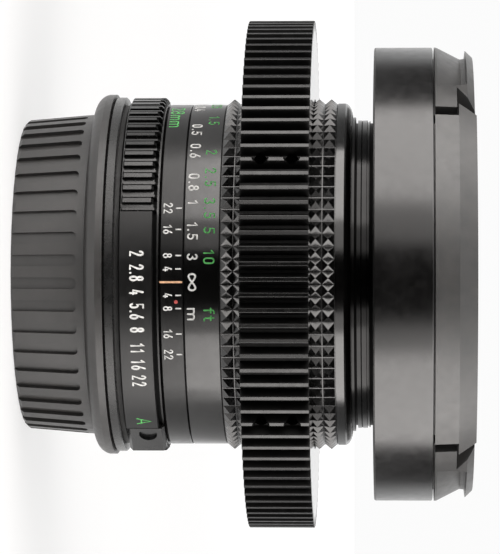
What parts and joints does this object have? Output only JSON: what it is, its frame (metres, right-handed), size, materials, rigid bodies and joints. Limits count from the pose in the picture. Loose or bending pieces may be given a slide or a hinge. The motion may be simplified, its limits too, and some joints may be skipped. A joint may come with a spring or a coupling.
{
  "type": "wide-angle prime lens",
  "caption": "Manual-focus wide-angle prime lens with a follow-focus gear, a wide front clamp ring and both caps on, standing on its rear cap",
  "frame": {"origin": "middle of the rear cap's base, which the lens stands on", "axes": "+Z is the optical axis towards the front; the index line faces -Y"},
  "size_m": [0.0896, 0.0896, 0.0789],
  "materials": {
    "matte_cap": "matte moulded plastic",
    "black_anodised": "satin black anodised",
    "front_anodised": "satin black anodised",
    "gear_black": "black anodised, machined",
    "grip_black": "hard black rubber",
    "mount_metal": "black lacquer",
    "steel": "bright steel",
    "black_screw": "blackened steel",
    "brass": "turned brass",
    "button_black": "gloss black",
    "glass": "coated optical glass",
    "iris_steel": "matte black oxide"
  },
  "bodies": {
    "barrel": {"mount_ring": "mount_metal", "mount_screws": "black_screw", "fixed_barrel": "black_anodised", "rear_baffle": "mount_metal", "barrel_screws": "black_screw", "guide_keys": "brass", "click_spring": "steel", "helicoid_retainer": "brass", "dof_scale_ring": "black_anodised"},
    "rear_cap": {"rear_cap": "matte_cap"},
    "mount_lock": {"mount_lock_button": "steel"},
    "stopdown": {"stopdown_lever": "steel", "stopdown_spring": "steel"},
    "aperture": {"aperture_ring": "black_anodised", "signal_lever": "steel"},
    "ae_button": {"ae_lock_button": "button_black"},
    "focus": {"focus_ring": "black_anodised", "focus_grip": "grip_black", "distance_scale_ring": "black_anodised", "gear_ring": "gear_black", "gear_set_screws": "black_screw", "focus_helicoid": "brass", "focus_ring_screws": "steel"},
    "front_group": {"lens_barrel": "black_anodised", "front_barrel": "black_anodised", "front_barrel_screws": "black_screw", "filter_ring": "black_anodised", "trim_ring": "black_anodised", "step_up_ring": "front_anodised", "front_ring": "front_anodised", "front_cell": "black_anodised", "front_lock_ring": "black_anodised", "front_spacer": "black_anodised", "rear_cell": "black_anodised", "rear_lock_ring": "black_anodised", "iris_housing": "iris_steel", "glass_1": "glass", "glass_2": "glass", "glass_3": "glass", "glass_4": "glass", "glass_5": "glass", "glass_6": "glass", "glass_7": "glass", "glass_8": "glass", "glass_9": "glass", "glass_10": "glass"},
    "iris_rotor": {"iris_rotor": "iris_steel"},
    "front_cap": {"front_cap": "matte_cap", "cap_back_plate": "matte_cap", "cap_springs": "steel"},
    "lever_left": {"cap_lever_left": "matte_cap"},
    "lever_right": {"cap_lever_right": "matte_cap"},
    "blade_1": {"iris_blade_1": "iris_steel"},
    "blade_2": {"iris_blade_2": "iris_steel"},
    "blade_3": {"iris_blade_3": "iris_steel"},
    "blade_4": {"iris_blade_4": "iris_steel"},
    "blade_5": {"iris_blade_5": "iris_steel"},
    "blade_6": {"iris_blade_6": "iris_steel"},
    "blade_7": {"iris_blade_7": "iris_steel"},
    "blade_8": {"iris_blade_8": "iris_steel"}
  },
  "joints": [
    {"name": "rear_cap_turn", "type": "hinge", "parent": "barrel", "child": "rear_cap", "pos_m": [0, 0, 0.008], "axis": [0, 0, 1], "range_deg": [0, 60]},
    {"name": "focus_turn", "type": "hinge", "parent": "barrel", "child": "focus", "pos_m": [0, 0, 0.045], "axis": [0, 0, 1], "range_deg": [0, 108]},
    {"name": "focus_extension", "type": "slide", "parent": "barrel", "child": "front_group", "axis": [0, 0, 1], "range_m": [0, 0.0033]},
    {"name": "aperture_turn", "type": "hinge", "parent": "barrel", "child": "aperture", "pos_m": [0, 0, 0.022], "axis": [0, 0, 1], "range_deg": [-51, 9], "deforming": ["click_spring"]},
    {"name": "ae_lock_press", "type": "slide", "parent": "aperture", "child": "ae_button", "axis": [-0.8886, 0.4587, 0], "range_m": [0, 0.0008], "stiffness_N_per_m": 400, "springref_m": -0.0008},
    {"name": "mount_lock_press", "type": "slide", "parent": "barrel", "child": "mount_lock", "axis": [0.9272, -0.3746, 0], "range_m": [0, 0.001], "stiffness_N_per_m": 400, "springref_m": -0.0008},
    {"name": "stopdown_turn", "type": "hinge", "parent": "barrel", "child": "stopdown", "pos_m": [0, 0, 0.022], "axis": [0, 0, 1], "range_deg": [0, 20], "stiffness_Nm_per_rad": 0.02, "springref_deg": -11.46, "deforming": ["stopdown_spring"]},
    {"name": "iris_rotor_turn", "type": "hinge", "parent": "front_group", "child": "iris_rotor", "pos_m": [0, 0, 0.038], "axis": [0, 0, 1], "range_deg": [0, 20.1]},
    {"name": "front_cap_off", "type": "slide", "parent": "front_group", "child": "front_cap", "axis": [0, 0, 1], "range_m": [0, 0.025]},
    {"name": "lever_right_pinch", "type": "slide", "parent": "front_cap", "child": "lever_right", "axis": [-0.9995, -0.0332, 0], "range_m": [0, 0.0015], "stiffness_N_per_m": 900, "springref_m": -0.002, "deforming": ["cap_springs"]},
    {"name": "lever_left_pinch", "type": "slide", "parent": "front_cap", "child": "lever_left", "axis": [0.9995, 0.0332, 0], "range_m": [0, 0.0015], "stiffness_N_per_m": 900, "springref_m": -0.002, "deforming": ["cap_springs"]},
    {"name": "blade_1_swing", "type": "hinge", "parent": "front_group", "child": "blade_1", "pos_m": [0, -0.0152, 0.036], "axis": [0, 0, 1], "range_deg": [0, 33.4]},
    {"name": "blade_2_swing", "type": "hinge", "parent": "front_group", "child": "blade_2", "pos_m": [0.01075, -0.01075, 0.036], "axis": [0, 0, 1], "range_deg": [0, 33.4]},
    {"name": "blade_3_swing", "type": "hinge", "parent": "front_group", "child": "blade_3", "pos_m": [0.0152, 0, 0.036], "axis": [0, 0, 1], "range_deg": [0, 33.4]},
    {"name": "blade_4_swing", "type": "hinge", "parent": "front_group", "child": "blade_4", "pos_m": [0.01075, 0.01075, 0.036], "axis": [0, 0, 1], "range_deg": [0, 33.4]},
    {"name": "blade_5_swing", "type": "hinge", "parent": "front_group", "child": "blade_5", "pos_m": [0, 0.0152, 0.036], "axis": [0, 0, 1], "range_deg": [0, 33.4]},
    {"name": "blade_6_swing", "type": "hinge", "parent": "front_group", "child": "blade_6", "pos_m": [-0.01075, 0.01075, 0.036], "axis": [0, 0, 1], "range_deg": [0, 33.4]},
    {"name": "blade_7_swing", "type": "hinge", "parent": "front_group", "child": "blade_7", "pos_m": [-0.0152, 0, 0.036], "axis": [0, 0, 1], "range_deg": [0, 33.4]},
    {"name": "blade_8_swing", "type": "hinge", "parent": "front_group", "child": "blade_8", "pos_m": [-0.01075, -0.01075, 0.036], "axis": [0, 0, 1], "range_deg": [0, 33.4]}
  ],
  "couplings": [
    {"joint": "focus_extension", "follows": "focus_turn", "m_per_rad": 0.0017507},
    {"joint": "iris_rotor_turn", "follows": "stopdown_turn", "ratio": 1},
    {"joint": "blade_1_swing", "follows": "stopdown_turn", "ratio": 1.665},
    {"joint": "blade_2_swing", "follows": "stopdown_turn", "ratio": 1.665},
    {"joint": "blade_3_swing", "follows": "stopdown_turn", "ratio": 1.665},
    {"joint": "blade_4_swing", "follows": "stopdown_turn", "ratio": 1.665},
    {"joint": "blade_5_swing", "follows": "stopdown_turn", "ratio": 1.665},
    {"joint": "blade_6_swing", "follows": "stopdown_turn", "ratio": 1.665},
    {"joint": "blade_7_swing", "follows": "stopdown_turn", "ratio": 1.665},
    {"joint": "blade_8_swing", "follows": "stopdown_turn", "ratio": 1.665}
  ]
}
